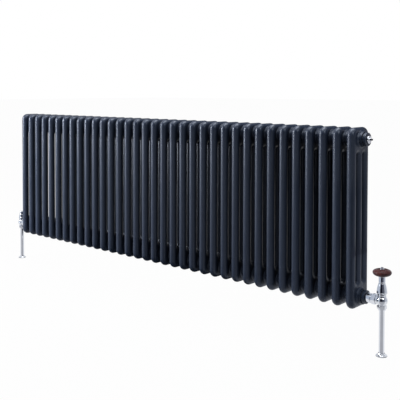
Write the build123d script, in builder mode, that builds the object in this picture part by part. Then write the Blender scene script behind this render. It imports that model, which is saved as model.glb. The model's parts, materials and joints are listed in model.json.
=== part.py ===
"""Three-column tubular radiator with a wheel-head valve on the right and a lockshield valve on the left.

The radiator is a row of welded sections. A section has three round tubes between an upper and a
lower pressed head, and each head has a round hub that is welded to the next section's hub.
Reducing bushes close the four ends of the two hub rows. The upper two hold a blanking plug and an
air-vent plug, and the lower two hold the angled valves, which stand on pipes from the floor.

Units are millimetres. X runs along the radiator, -Y is the front, and +Z is up. The origin is
midway along the axis of the upper hub row, where the wall hooks carry the radiator.
"""

import os

from build123d import *

# ---------------------------------------------------------------- fits
THREAD_FIT = 0.05  # radial gap between a screwed or pushed-on piece and its seat
RUNNING_FIT = 0.05  # radial gap around a turning shaft
SLIDING_FIT = 0.15  # gap on each side of a sliding square
BODY_GAP = 0.3  # gap between faces of pieces that move apart

# ---------------------------------------------------------------- radiator block
SECTION_COUNT = 35
SECTION_PITCH = 45.0
COLUMN_COUNT = 3
COLUMN_SPACING = 33.0
TUBE_DIAMETER = 25.0
TUBE_WALL = 1.5
PORT_SPACING = 435.0  # between the upper and the lower hub axis
HEAD_RISE = 32.5  # from a hub axis to the outer edge of its head
HEAD_CORNER_RADIUS = 22.0
HEAD_WALL = 1.8
HEAD_LEG = 45.5  # from a hub axis to the joint between head and tubes
SLOT_LEG = 6.0  # straight and round length of a slot inside the head
RIM_FLAT = 0.1  # flat left on each side of the full-round rim
HUB_RADIUS = 22.0
HUB_FLARE = 4.0  # extra radius where a hub runs into its head
FLOOR_CLEARANCE = 120.0  # under the lower heads

# ---------------------------------------------------------------- end fittings
BUSH_THREAD_RADIUS = 16.6
BUSH_THREAD_LENGTH = 16.0
BUSH_FLANGE_RADIUS = 18.8
BUSH_FLANGE_THICKNESS = 8.5
BUSH_EDGE = 1.2
GASKET_THICKNESS = 1.5
GASKET_RADIUS = 18.2
PLUG_THREAD_RADIUS = 10.4
PLUG_THREAD_LENGTH = 12.0
PLUG_HEAD_RADIUS = 11.0
PLUG_HEAD_THICKNESS = 4.5
PLUG_EDGE = 1.0
PLUG_SOCKET_WIDTH = 10.0  # hexagon key socket in the blanking plug
PLUG_SOCKET_DEPTH = 7.0
VENT_BOSS_RADIUS = 4.6
VENT_BOSS_LENGTH = 3.0
VENT_SCREW_RADIUS = 2.4
VENT_SQUARE = 5.0
VENT_TIP_LENGTH = 5.5
VENT_HOLE_RADIUS = 1.0
VENT_SEAT_DEPTH = 2.0  # metal left behind the vent screw

# ---------------------------------------------------------------- valve body and union
VALVE_REACH = 44.5  # from a bush face to the valve axis
BALL_RADIUS = 14.2
COLLAR_RADIUS = 12.2
COLLAR_HEIGHT = 19.5  # top of the body above the port axis
CHAMBER_RADIUS = 8.0
CHAMBER_DEPTH = 8.5  # below the port axis
SEAT_RADIUS = 6.6
SEAT_RISE = 1.5
INLET_RADIUS = 5.0
OUTLET_RADIUS = 6.5
INLET_THREAD_RADIUS = 10.6
INLET_LENGTH = 22.5  # end of the inlet thread below the port axis
SOCKET_DEPTH = 9.2  # pipe socket in the inlet
SOCKET_MOUTH = 1.6
UNION_THREAD_RADIUS = 11.6
UNION_FACE = 22.5  # end of the union thread from the valve axis
UNION_NUT_GAP = 1.3
UNION_NUT_WIDTH = 26.0  # across flats
UNION_HEX_LENGTH = 13.0
UNION_SKIRT_RADIUS = 13.2
UNION_SKIRT_GAP = 0.8  # between the nut's skirt and the bush
NUT_EDGE = 1.0
TAIL_FLANGE_RADIUS = 11.4
TAIL_FLANGE_THICKNESS = 3.5

# ---------------------------------------------------------------- head work
BONNET_THREAD_LENGTH = 11.5
BONNET_HEX_WIDTH = 18.5
BONNET_HEX_HEIGHT = 5.0
BONNET_BARREL_RADIUS = 7.5
BONNET_BARREL_HEIGHT = 15.0
BONNET_NECK_RADIUS = 6.0
BONNET_NECK_HEIGHT = 4.5
BONNET_SHOULDER = 18.0  # depth of the square guide from the thread's end
SPINDLE_RADIUS = 3.0
SPINDLE_SCREW_RADIUS = 2.5
SPINDLE_COLLAR_RADIUS = 3.9
SPINDLE_COLLAR_THICKNESS = 2.3
SPINDLE_SQUARE = 4.2
SEAL_RADIUS = 4.6
SEAL_THICKNESS = 2.2
SEAL_DEPTH = 2.0  # metal over the gland seal
LIFT_PER_TURN = 1.5
TURNS = 2.5
JUMPER_GUIDE = 8.0  # across the square guide
JUMPER_DISC_RADIUS = 6.5
JUMPER_DISC_THICKNESS = 2.0
JUMPER_FLOOR = 1.5  # metal under the screw hole
WASHER_RADIUS = 6.2
WASHER_THICKNESS = 2.0

# ---------------------------------------------------------------- wheel head
BELL_BASE_RADIUS = 14.6
BELL_TOP_RADIUS = 9.3
BELL_HEIGHT = 28.0
BELL_BULGE = 1.2
BELL_WALL = 1.5
BELL_GAP = 0.5  # above the valve body
WHEEL_COLLAR_RADIUS = 9.0
WHEEL_COLLAR_HEIGHT = 18.7
WHEEL_COLLAR_EDGE = 1.5
WHEEL_RADIUS = 25.5
WHEEL_HEIGHT = 18.0
WHEEL_SEAT_RADIUS = 10.5
WHEEL_RIM_HEIGHT = 10.0
WHEEL_COVE_OUTER = 14.0
WHEEL_COVE_INNER = 8.0
WHEEL_COVE_DEPTH = 1.8
FINIAL_RADIUS = 5.8
FINIAL_RIM = 1.8
FINIAL_HEIGHT = 6.5
FINIAL_BORE_DEPTH = 4.6
FINIAL_THREAD_RADIUS = 2.0

# ---------------------------------------------------------------- lockshield head
CAP_BASE_RADIUS = 13.4
CAP_SHOULDER_RADIUS = 10.4
CAP_TOP_RADIUS = 7.5
CAP_FLARE_HEIGHT = 14.0
CAP_HEIGHT = 30.5
CAP_WALL = 1.2
LOCK_SQUARE_LENGTH = 4.0

# ---------------------------------------------------------------- floor pipes
PIPE_RADIUS = 7.5
PIPE_WALL = 0.7
PIPE_NUT_WIDTH = 23.0
PIPE_NUT_HEX_HEIGHT = 9.5
PIPE_NUT_CONE_HEIGHT = 5.0
PIPE_NUT_CONE_RADIUS = 9.2
PIPE_NUT_GAP = 0.5  # between the nut and the pipe stop's level
OLIVE_RADIUS = 9.0
FLANGE_RADIUS = 15.5
FLANGE_HEIGHT = 9.0
FLANGE_EDGE = 2.5

# ---------------------------------------------------------------- worked out from the sizes above
tube_radius = TUBE_DIAMETER / 2
block_end = SECTION_COUNT * SECTION_PITCH / 2
block_depth = (COLUMN_COUNT - 1) * COLUMN_SPACING + TUBE_DIAMETER
lower_axis = -PORT_SPACING
floor_level = lower_axis - HEAD_RISE - FLOOR_CLEARANCE
bush_face = GASKET_THICKNESS + BUSH_FLANGE_THICKNESS
valve_x = block_end + bush_face + VALVE_REACH
column_places = [(i - (COLUMN_COUNT - 1) / 2) * COLUMN_SPACING for i in range(COLUMN_COUNT)]
slot_places = [(a + b) / 2 for a, b in zip(column_places, column_places[1:])]

hub_bore = BUSH_THREAD_RADIUS + THREAD_FIT
plug_bore = PLUG_THREAD_RADIUS + THREAD_FIT
pipe_bore = PIPE_RADIUS - PIPE_WALL
pipe_hole = PIPE_RADIUS + THREAD_FIT
pipe_drop = lower_axis - floor_level
pipe_stop = SOCKET_DEPTH - INLET_LENGTH
seat_level = SEAT_RISE - CHAMBER_DEPTH
bonnet_base = COLLAR_HEIGHT - BONNET_THREAD_LENGTH
bonnet_shoulder = bonnet_base + BONNET_SHOULDER
bonnet_barrel_top = COLLAR_HEIGHT + BONNET_HEX_HEIGHT + BONNET_BARREL_HEIGHT
bonnet_top = bonnet_barrel_top + BONNET_NECK_HEIGHT
seal_top = bonnet_top - SEAL_DEPTH
seal_base = seal_top - SEAL_THICKNESS
spindle_bore = SPINDLE_RADIUS + RUNNING_FIT
spindle_collar_top = bonnet_shoulder - BODY_GAP
spindle_collar_base = spindle_collar_top - SPINDLE_COLLAR_THICKNESS
lift = LIFT_PER_TURN * TURNS
washer_base = seat_level + BODY_GAP
jumper_base = washer_base + WASHER_THICKNESS
jumper_guide_base = jumper_base + JUMPER_DISC_THICKNESS
jumper_top = spindle_collar_base - lift - BODY_GAP
jumper_hole_base = jumper_base + JUMPER_FLOOR
spindle_end = jumper_hole_base + lift + BODY_GAP
bell_base = COLLAR_HEIGHT + BELL_GAP
bell_top = bell_base + BELL_HEIGHT
wheel_collar_base = bell_top + BODY_GAP
wheel_base = wheel_collar_base + WHEEL_COLLAR_HEIGHT
wheel_top = wheel_base + WHEEL_HEIGHT
spindle_tip = wheel_top + FINIAL_BORE_DEPTH - BODY_GAP
cap_base = COLLAR_HEIGHT + BODY_GAP
cap_top = cap_base + CAP_HEIGHT
union_nut_base = BALL_RADIUS + UNION_NUT_GAP
union_nut_end = VALVE_REACH - UNION_SKIRT_GAP
tail_shoulder = UNION_FACE + TAIL_FLANGE_THICKNESS
tail_end = VALVE_REACH + PLUG_THREAD_LENGTH

STANDING = (Align.CENTER, Align.CENTER, Align.MIN)
ports = {
    "blank": Location(Plane((-block_end, 0, 0), x_dir=(0, 1, 0), z_dir=(-1, 0, 0))),
    "vent": Location(Plane((block_end, 0, 0), x_dir=(0, 1, 0), z_dir=(1, 0, 0))),
    "return": Location(Plane((-block_end, 0, lower_axis), x_dir=(0, 1, 0), z_dir=(-1, 0, 0))),
    "flow": Location(Plane((block_end, 0, lower_axis), x_dir=(0, 1, 0), z_dir=(1, 0, 0))),
}
wheel_valve = Location(Plane((valve_x, 0, lower_axis), x_dir=(-1, 0, 0), z_dir=(0, 0, 1)))
lockshield_valve = Location(Plane((-valve_x, 0, lower_axis), x_dir=(1, 0, 0), z_dir=(0, 0, 1)))
unions = [
    Location(Plane((valve_x, 0, lower_axis), x_dir=(0, 1, 0), z_dir=(-1, 0, 0))),
    Location(Plane((-valve_x, 0, lower_axis), x_dir=(0, 1, 0), z_dir=(1, 0, 0))),
]

os.makedirs("parts", exist_ok=True)


# ---------------------------------------------------------------- shared shapes
def post(radius, bottom, top, mode=Mode.ADD):
    """Add or cut a round length between two heights on the local Z axis."""
    with Locations((0, 0, bottom)):
        return Cylinder(radius, top - bottom, align=STANDING, mode=mode)


def square_post(width, bottom, top, mode=Mode.ADD):
    """Add or cut a square length between two heights on the local Z axis."""
    with Locations((0, 0, bottom)):
        return Box(width, width, top - bottom, align=STANDING, mode=mode)


def bore(radius, bottom, top):
    """Cut a round hole between two heights on the local Z axis."""
    return post(radius, bottom, top, mode=Mode.SUBTRACT)


def placed(piece, *places):
    """Copies of a piece at each place, kept as separate solids."""
    with BuildPart() as group:
        with Locations(*places):
            add(piece)
    return group.part


def write(piece, name):
    """Label a node and write it to its own file."""
    piece.label = name
    export_step(piece, f"parts/{name}.step")


# ---------------------------------------------------------------- radiator block
def head_form(inset):
    """An upper head without its hub, full size or smaller all round by an inset."""
    half_width = tube_radius - inset
    leg_end = -HEAD_LEG
    slot_width = COLUMN_SPACING - TUBE_DIAMETER + 2 * inset
    slot_reach = SLOT_LEG + inset
    with BuildPart() as form:
        with BuildSketch(Plane.YZ.offset(-half_width)) as outline:
            with Locations((0, leg_end)):
                Rectangle(
                    block_depth - 2 * inset,
                    HEAD_RISE - inset - leg_end,
                    align=(Align.CENTER, Align.MIN),
                )
            corners = outline.vertices().group_by(Axis.Y)[-1]
            fillet(corners, radius=HEAD_CORNER_RADIUS - inset)
            with Locations([(y, leg_end + slot_reach - slot_width / 2) for y in slot_places]):
                Circle(slot_width / 2, mode=Mode.SUBTRACT)
            with Locations([(y, leg_end) for y in slot_places]):
                Rectangle(slot_width, 2 * slot_reach - slot_width, mode=Mode.SUBTRACT)
        extrude(amount=2 * half_width)
        sides = form.faces().sort_by(Axis.X)
        rims = (sides[0].edges() + sides[-1].edges()).filter_by(lambda edge: edge.center().Z > leg_end)
        fillet(rims, radius=half_width - RIM_FLAT)
    return form.part


def build_head():
    """A hollow pressed head with a flared hub on each side."""
    hub_reach = SECTION_PITCH / 2
    flare = HUB_RADIUS + HUB_FLARE
    outside = head_form(0)
    water_way = head_form(HEAD_WALL)
    with BuildPart() as head:
        add(outside)
        with BuildSketch(Plane.XZ):
            with BuildLine():
                Polyline(
                    (0, 0),
                    (0, flare),
                    (tube_radius, flare),
                    (tube_radius + HUB_FLARE, HUB_RADIUS),
                    (hub_reach, HUB_RADIUS),
                    (hub_reach, 0),
                    close=True,
                )
            make_face()
        revolve(axis=Axis.X)
        mirror(about=Plane.YZ)
        add(water_way, mode=Mode.SUBTRACT)
        with BuildSketch(Plane.YZ.offset(-hub_reach)):
            Circle(hub_bore)
        extrude(amount=SECTION_PITCH, mode=Mode.SUBTRACT)
    return head.part


def build_tube():
    """One round tube between the two heads, on the middle column."""
    with BuildPart() as tube:
        post(tube_radius, lower_axis + HEAD_LEG, -HEAD_LEG)
        bore(tube_radius - TUBE_WALL, lower_axis + HEAD_LEG, -HEAD_LEG)
    return tube.part


upper_head = build_head()
lower_head = Location((0, 0, lower_axis)) * mirror(upper_head, about=Plane.XY)
tube = build_tube()
section_pieces = [upper_head, lower_head] + [Location((0, y, 0)) * tube for y in column_places]

for number in range(SECTION_COUNT):
    x = (number + 0.5) * SECTION_PITCH - block_end
    section = Compound(children=[Location((x, 0, 0)) * piece for piece in section_pieces])
    write(section, f"section_{number + 1:02d}")


# ---------------------------------------------------------------- end fittings, outwards along local Z
with BuildPart() as bush:
    post(BUSH_THREAD_RADIUS, -BUSH_THREAD_LENGTH, GASKET_THICKNESS)
    post(BUSH_FLANGE_RADIUS, GASKET_THICKNESS, bush_face)
    chamfer(bush.edges().group_by(Axis.Z)[-1], length=BUSH_EDGE)
    bore(plug_bore, -BUSH_THREAD_LENGTH, bush_face)
write(placed(bush.part, *ports.values()), "reducing_bushes")

with BuildPart() as gasket:
    post(GASKET_RADIUS, 0, GASKET_THICKNESS)
    bore(hub_bore, 0, GASKET_THICKNESS)

with BuildPart() as gland_seal:
    post(SEAL_RADIUS, seal_base, seal_top)
    bore(spindle_bore, seal_base, seal_top)

with BuildPart() as seal_rings:
    with Locations(*ports.values()):
        add(gasket.part)
    with Locations(wheel_valve, lockshield_valve):
        add(gland_seal.part)
write(seal_rings.part, "seal_rings")

plug_head_top = bush_face + PLUG_HEAD_THICKNESS
with BuildPart() as blanking_plug:
    post(PLUG_THREAD_RADIUS, bush_face - PLUG_THREAD_LENGTH, bush_face)
    post(PLUG_HEAD_RADIUS, bush_face, plug_head_top)
    fillet(blanking_plug.edges().group_by(Axis.Z)[-1], radius=PLUG_EDGE)
    with BuildSketch(Plane.XY.offset(plug_head_top)):
        RegularPolygon(PLUG_SOCKET_WIDTH / 2, 6, major_radius=False)
    extrude(amount=-PLUG_SOCKET_DEPTH, mode=Mode.SUBTRACT)
write(placed(blanking_plug.part, ports["blank"]), "blanking_plug")

vent_boss_top = plug_head_top + VENT_BOSS_LENGTH
vent_hole_base = bush_face - PLUG_THREAD_LENGTH
vent_screw_end = vent_hole_base + VENT_SEAT_DEPTH
with BuildPart() as vent_plug:
    post(PLUG_THREAD_RADIUS, vent_hole_base, bush_face)
    post(PLUG_HEAD_RADIUS, bush_face, plug_head_top)
    fillet(vent_plug.edges().group_by(Axis.Z)[-1], radius=PLUG_EDGE)
    post(VENT_BOSS_RADIUS, plug_head_top, vent_boss_top)
    bore(VENT_SCREW_RADIUS + RUNNING_FIT, vent_screw_end, vent_boss_top)
    bore(VENT_HOLE_RADIUS, vent_hole_base, vent_screw_end)
write(placed(vent_plug.part, ports["vent"]), "vent_plug")

vent_square_base = vent_boss_top + BODY_GAP
with BuildPart() as bleed_screw:
    post(VENT_SCREW_RADIUS, vent_screw_end + BODY_GAP, vent_square_base)
    square_post(VENT_SQUARE, vent_square_base, vent_square_base + VENT_TIP_LENGTH)
    chamfer(bleed_screw.edges().group_by(Axis.Z)[-1], length=VENT_SQUARE / 8)
write(placed(bleed_screw.part, ports["vent"]), "bleed_screw")


# ---------------------------------------------------------------- valve bodies, upwards along local Z
def build_valve_body():
    """An angled body: pipe socket below, union thread towards +X, bonnet seat on top."""
    with BuildPart() as body:
        Sphere(BALL_RADIUS)
        post(COLLAR_RADIUS, 0, COLLAR_HEIGHT)
        post(INLET_THREAD_RADIUS, -INLET_LENGTH, 0)
        with BuildSketch(Plane.YZ):
            Circle(UNION_THREAD_RADIUS)
        extrude(amount=UNION_FACE)
        bore(CHAMBER_RADIUS, -CHAMBER_DEPTH, COLLAR_HEIGHT)
        with BuildSketch(Plane.YZ):
            Circle(OUTLET_RADIUS)
        extrude(amount=UNION_FACE, mode=Mode.SUBTRACT)
        post(SEAT_RADIUS, -CHAMBER_DEPTH, seat_level)
        bore(INLET_RADIUS, -INLET_LENGTH, seat_level)
        bore(pipe_hole, -INLET_LENGTH, pipe_stop)
        mouth = body.edges().group_by(Axis.Z)[0].sort_by(SortBy.RADIUS)[0]
        chamfer(mouth, length=SOCKET_MOUTH)
    return body.part


valve_body = build_valve_body()
write(placed(valve_body, wheel_valve), "wheel_valve_body")
write(placed(valve_body, lockshield_valve), "lockshield_body")

with BuildPart() as union_nut:
    with BuildSketch(Plane.XY.offset(union_nut_base)):
        RegularPolygon(UNION_NUT_WIDTH / 2, 6, rotation=30, major_radius=False)
    extrude(amount=UNION_HEX_LENGTH)
    chamfer(union_nut.edges().group_by(Axis.Z)[0], length=NUT_EDGE)
    post(UNION_SKIRT_RADIUS, union_nut_base + UNION_HEX_LENGTH, union_nut_end)
    fillet(union_nut.edges().group_by(Axis.Z)[-1], radius=NUT_EDGE)
    bore(UNION_THREAD_RADIUS + THREAD_FIT, union_nut_base, tail_shoulder)
    bore(plug_bore, tail_shoulder, union_nut_end)
write(placed(union_nut.part, *unions), "union_nuts")

with BuildPart() as union_tail:
    post(TAIL_FLANGE_RADIUS, UNION_FACE, tail_shoulder)
    post(PLUG_THREAD_RADIUS, tail_shoulder, tail_end)
    bore(OUTLET_RADIUS, UNION_FACE, tail_end)
write(placed(union_tail.part, *unions), "union_tails")

with BuildPart() as bonnet:
    post(CHAMBER_RADIUS - THREAD_FIT, bonnet_base, COLLAR_HEIGHT)
    with BuildSketch(Plane.XY.offset(COLLAR_HEIGHT)):
        RegularPolygon(BONNET_HEX_WIDTH / 2, 6, major_radius=False)
    extrude(amount=BONNET_HEX_HEIGHT)
    post(BONNET_BARREL_RADIUS, COLLAR_HEIGHT, bonnet_barrel_top)
    post(BONNET_NECK_RADIUS, bonnet_barrel_top, bonnet_top)
    square_post(JUMPER_GUIDE + 2 * SLIDING_FIT, bonnet_base, bonnet_shoulder, mode=Mode.SUBTRACT)
    bore(spindle_bore, bonnet_shoulder, bonnet_top)
    bore(SEAL_RADIUS + THREAD_FIT, seal_base, seal_top)
write(placed(bonnet.part, wheel_valve, lockshield_valve), "valve_bonnets")


# ---------------------------------------------------------------- moving pieces inside the valves
with BuildPart() as jumper:
    post(JUMPER_DISC_RADIUS, jumper_base, jumper_guide_base)
    square_post(JUMPER_GUIDE, jumper_guide_base, jumper_top)
    bore(SPINDLE_SCREW_RADIUS + RUNNING_FIT, jumper_hole_base, jumper_top)
write(placed(jumper.part, wheel_valve), "wheel_valve_jumper")
write(placed(jumper.part, lockshield_valve), "lockshield_jumper")

with BuildPart() as seat_washer:
    post(WASHER_RADIUS, washer_base, jumper_base)
write(placed(seat_washer.part, wheel_valve), "wheel_valve_washer")
write(placed(seat_washer.part, lockshield_valve), "lockshield_washer")


def build_spindle(round_top, square_top, tip_top):
    """A captive spindle: screw below its collar, round shaft and square drive above, and a tip."""
    with BuildPart() as spindle:
        post(SPINDLE_SCREW_RADIUS, spindle_end, spindle_collar_base)
        post(SPINDLE_COLLAR_RADIUS, spindle_collar_base, spindle_collar_top)
        post(SPINDLE_RADIUS, spindle_collar_top, round_top)
        square_post(SPINDLE_SQUARE, round_top, square_top)
        post(FINIAL_THREAD_RADIUS, square_top, tip_top)
    return spindle.part


lock_square_base = bonnet_top + BODY_GAP
lock_square_top = lock_square_base + LOCK_SQUARE_LENGTH
wheel_spindle = build_spindle(wheel_base, wheel_top - WHEEL_COVE_DEPTH, spindle_tip)
lockshield_spindle = build_spindle(lock_square_base, lock_square_top - BODY_GAP, lock_square_top)
write(placed(wheel_spindle, wheel_valve), "wheel_spindle")
write(placed(lockshield_spindle, lockshield_valve), "lockshield_spindle")


# ---------------------------------------------------------------- wheel head
def bell_profile(inset, top):
    """Face of the bell's half section, full size or smaller by an inset, up to a height."""
    base_radius = BELL_BASE_RADIUS - inset
    top_radius = BELL_TOP_RADIUS - inset
    bulge = ((base_radius + top_radius) / 2 + BELL_BULGE, (bell_base + top) / 2)
    with BuildSketch(Plane.XZ) as half:
        with BuildLine():
            Polyline((top_radius, top), (0, top), (0, bell_base), (base_radius, bell_base))
            ThreePointArc((base_radius, bell_base), bulge, (top_radius, top))
        make_face()
    return half.sketch


bell_outside = bell_profile(0, bell_top)
bell_inside = bell_profile(BELL_WALL, bonnet_barrel_top)
with BuildPart() as bell_cover:
    revolve(bell_outside, axis=Axis.Z)
    revolve(bell_inside, axis=Axis.Z, mode=Mode.SUBTRACT)
    bore(BONNET_NECK_RADIUS + THREAD_FIT, bonnet_barrel_top, bell_top)
write(placed(bell_cover.part, wheel_valve), "bell_cover")

with BuildPart() as wheel_collar:
    post(WHEEL_COLLAR_RADIUS, wheel_collar_base, wheel_base)
    fillet(wheel_collar.edges().group_by(Axis.Z)[0], radius=WHEEL_COLLAR_EDGE)
    bore(SPINDLE_RADIUS + THREAD_FIT, wheel_collar_base, wheel_base)
write(placed(wheel_collar.part, wheel_valve), "wheel_collar")

with BuildPart() as handwheel:
    rim_height = wheel_base + WHEEL_RIM_HEIGHT
    cove_mid = (WHEEL_COVE_OUTER + WHEEL_COVE_INNER) / 2
    with BuildSketch(Plane.XZ):
        with BuildLine():
            Polyline((WHEEL_COVE_INNER, wheel_top), (0, wheel_top), (0, wheel_base))
            Line((0, wheel_base), (WHEEL_SEAT_RADIUS, wheel_base))
            EllipticalCenterArc(
                (WHEEL_SEAT_RADIUS, rim_height),
                WHEEL_RADIUS - WHEEL_SEAT_RADIUS,
                WHEEL_RIM_HEIGHT,
                start_angle=-90,
                arc_size=90,
            )
            EllipticalCenterArc(
                (WHEEL_COVE_OUTER, rim_height),
                WHEEL_RADIUS - WHEEL_COVE_OUTER,
                WHEEL_HEIGHT - WHEEL_RIM_HEIGHT,
                start_angle=0,
                arc_size=90,
            )
            ThreePointArc(
                (WHEEL_COVE_OUTER, wheel_top),
                (cove_mid, wheel_top - WHEEL_COVE_DEPTH),
                (WHEEL_COVE_INNER, wheel_top),
            )
        make_face()
    revolve(axis=Axis.Z)
    square_post(SPINDLE_SQUARE + 2 * THREAD_FIT, wheel_base, wheel_top, mode=Mode.SUBTRACT)
write(placed(handwheel.part, wheel_valve), "handwheel")

with BuildPart() as finial:
    dome_base = wheel_top + FINIAL_RIM
    dome_top = wheel_top + FINIAL_HEIGHT
    post(FINIAL_RADIUS, wheel_top, dome_base)
    with BuildSketch(Plane.XZ):
        with BuildLine():
            Line((0, dome_base), (FINIAL_RADIUS, dome_base))
            EllipticalCenterArc(
                (0, dome_base), FINIAL_RADIUS, dome_top - dome_base, start_angle=0, arc_size=90
            )
            Line((0, dome_top), (0, dome_base))
        make_face()
    revolve(axis=Axis.Z)
    bore(FINIAL_THREAD_RADIUS + THREAD_FIT, wheel_top, spindle_tip + BODY_GAP)
write(placed(finial.part, wheel_valve), "wheel_finial")


# ---------------------------------------------------------------- lockshield cap
def cap_profile(inset):
    """Face of the cap's half section, full size or smaller by an inset."""
    base = cap_base
    top = cap_top - inset
    flare_top = base + CAP_FLARE_HEIGHT
    with BuildSketch(Plane.XZ) as half:
        with BuildLine():
            Polyline(
                (CAP_TOP_RADIUS - inset, top),
                (0, top),
                (0, base),
                (CAP_BASE_RADIUS - inset, base),
                (CAP_SHOULDER_RADIUS - inset, flare_top),
                close=True,
            )
        make_face()
    return half.sketch


cap_outside = cap_profile(0)
cap_inside = cap_profile(CAP_WALL)
with BuildPart() as lockshield_cap:
    revolve(cap_outside, axis=Axis.Z)
    fillet(lockshield_cap.edges().group_by(Axis.Z)[-1], radius=CAP_TOP_RADIUS / 2)
    revolve(cap_inside, axis=Axis.Z, mode=Mode.SUBTRACT)
write(placed(lockshield_cap.part, lockshield_valve), "lockshield_cap")


# ---------------------------------------------------------------- floor pipes, under the valves
pipe_nut_top = pipe_stop + PIPE_NUT_GAP
pipe_nut_cone = pipe_nut_top - PIPE_NUT_HEX_HEIGHT
pipe_nut_base = pipe_nut_cone - PIPE_NUT_CONE_HEIGHT
with BuildPart() as pipe_nut:
    with BuildSketch(Plane.XY.offset(pipe_nut_cone)):
        RegularPolygon(PIPE_NUT_WIDTH / 2, 6, major_radius=False)
    extrude(amount=PIPE_NUT_HEX_HEIGHT)
    chamfer(pipe_nut.edges().group_by(Axis.Z)[-1], length=NUT_EDGE)
    with BuildSketch(Plane.XY.offset(pipe_nut_cone)):
        Circle(PIPE_NUT_WIDTH / 2)
    with BuildSketch(Plane.XY.offset(pipe_nut_base)):
        Circle(PIPE_NUT_CONE_RADIUS)
    loft()
    thread_end = -INLET_LENGTH - PIPE_NUT_GAP
    bore(INLET_THREAD_RADIUS + THREAD_FIT, thread_end, pipe_nut_top)
    with BuildSketch(Plane.XY.offset(thread_end)):
        Circle(INLET_THREAD_RADIUS + THREAD_FIT)
    with BuildSketch(Plane.XY.offset((thread_end + pipe_nut_base) / 2)):
        Circle(pipe_hole)
    loft(mode=Mode.SUBTRACT)
    bore(pipe_hole, pipe_nut_base, thread_end)
write(placed(pipe_nut.part, wheel_valve, lockshield_valve), "compression_nuts")

with BuildPart() as olive:
    olive_top = -INLET_LENGTH + SOCKET_MOUTH - SLIDING_FIT
    olive_shoulder = olive_top - (OLIVE_RADIUS - pipe_hole) - SLIDING_FIT
    with BuildSketch(Plane.XZ):
        with BuildLine():
            Polyline(
                (pipe_hole, olive_top),
                (OLIVE_RADIUS, olive_shoulder),
                (pipe_hole, olive_shoulder - (olive_top - olive_shoulder)),
                close=True,
            )
        make_face()
    revolve(axis=Axis.Z)
write(placed(olive.part, wheel_valve, lockshield_valve), "olives")

with BuildPart() as pipe:
    post(PIPE_RADIUS, -pipe_drop, pipe_stop - BODY_GAP)
    bore(pipe_bore, -pipe_drop, pipe_stop)
write(placed(pipe.part, wheel_valve, lockshield_valve), "floor_pipes")

with BuildPart() as floor_flange:
    post(FLANGE_RADIUS, -pipe_drop, FLANGE_HEIGHT - pipe_drop)
    fillet(floor_flange.edges().group_by(Axis.Z)[-1], radius=FLANGE_EDGE)
    bore(pipe_hole, -pipe_drop, FLANGE_HEIGHT - pipe_drop)
write(placed(floor_flange.part, wheel_valve, lockshield_valve), "floor_flanges")
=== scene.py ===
# %% [markdown]
# # A three-column radiator with two valves
# The radiator comes ready-made from the CAD frame, in its real size and place. This lesson gives it
# its finishes, adds the small forms a maker would add last, such as weld seams and turned edges, and
# sets up a plain photo studio around it. First we load the frame and keep its box, because nothing
# that we add may make the radiator larger.

import json
import math

import bmesh
import bpy
from mathutils import Matrix, Vector


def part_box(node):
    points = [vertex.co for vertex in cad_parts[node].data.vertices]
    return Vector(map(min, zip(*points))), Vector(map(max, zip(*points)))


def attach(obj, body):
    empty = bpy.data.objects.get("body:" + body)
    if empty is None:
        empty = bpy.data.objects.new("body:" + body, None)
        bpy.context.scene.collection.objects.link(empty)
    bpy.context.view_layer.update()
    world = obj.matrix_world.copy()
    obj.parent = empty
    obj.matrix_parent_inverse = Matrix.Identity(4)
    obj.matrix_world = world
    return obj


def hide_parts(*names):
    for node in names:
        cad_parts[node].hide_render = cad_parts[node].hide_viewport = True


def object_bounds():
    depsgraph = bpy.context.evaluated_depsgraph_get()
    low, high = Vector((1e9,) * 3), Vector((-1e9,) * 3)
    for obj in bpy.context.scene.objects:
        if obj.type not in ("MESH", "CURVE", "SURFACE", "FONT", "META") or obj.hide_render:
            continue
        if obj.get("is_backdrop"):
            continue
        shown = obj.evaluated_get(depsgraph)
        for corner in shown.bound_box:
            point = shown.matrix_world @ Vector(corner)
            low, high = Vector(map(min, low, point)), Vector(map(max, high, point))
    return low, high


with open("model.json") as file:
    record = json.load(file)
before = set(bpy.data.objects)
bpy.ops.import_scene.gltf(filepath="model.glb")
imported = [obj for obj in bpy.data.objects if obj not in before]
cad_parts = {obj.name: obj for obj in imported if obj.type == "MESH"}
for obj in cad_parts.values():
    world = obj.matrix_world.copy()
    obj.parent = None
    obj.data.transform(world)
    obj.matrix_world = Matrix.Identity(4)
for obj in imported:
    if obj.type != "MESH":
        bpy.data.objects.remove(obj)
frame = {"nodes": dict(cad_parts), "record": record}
cad_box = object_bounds()
nodes = frame["nodes"]
record = frame["record"]
print("nodes", len(nodes), "size", [round(v, 4) for v in cad_box[1] - cad_box[0]])

# %% [markdown]
# A finish is built from shader nodes. The same two lines would repeat for every node: make it, then
# set or link its inputs. One small helper does both, so each finish below reads like a recipe. Two
# more cover what most finishes need: mixing two colours by a mask, and stretching a value. A Mix
# node has several sockets of one name, so its colours go by number.


# %% Helpers for shader nodes
MIX_FIRST, MIX_SECOND, MIX_RESULT = 6, 7, 2


def set_or_link(tree, socket, value):
    """Link a socket to another socket, or give it a plain value."""
    if isinstance(value, bpy.types.NodeSocket):
        tree.links.new(value, socket)
    else:
        socket.default_value = value


def shader_node(tree, kind, inputs, **settings):
    """Make a node, apply its settings, and set or link its inputs by name."""
    made = tree.nodes.new(kind)
    for name, value in settings.items():
        setattr(made, name, value)
    for name, value in inputs.items():
        set_or_link(tree, made.inputs[name], value)
    return made


def mixed_colour(tree, mask, first, second):
    """A colour that goes from the first to the second where the mask rises."""
    mix = shader_node(tree, "ShaderNodeMix", {"Factor": mask}, data_type="RGBA")
    for number, colour in ((MIX_FIRST, first), (MIX_SECOND, second)):
        value = (*colour, 1.0) if isinstance(colour, tuple) else colour
        set_or_link(tree, mix.inputs[number], value)
    return mix.outputs[MIX_RESULT]


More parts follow.
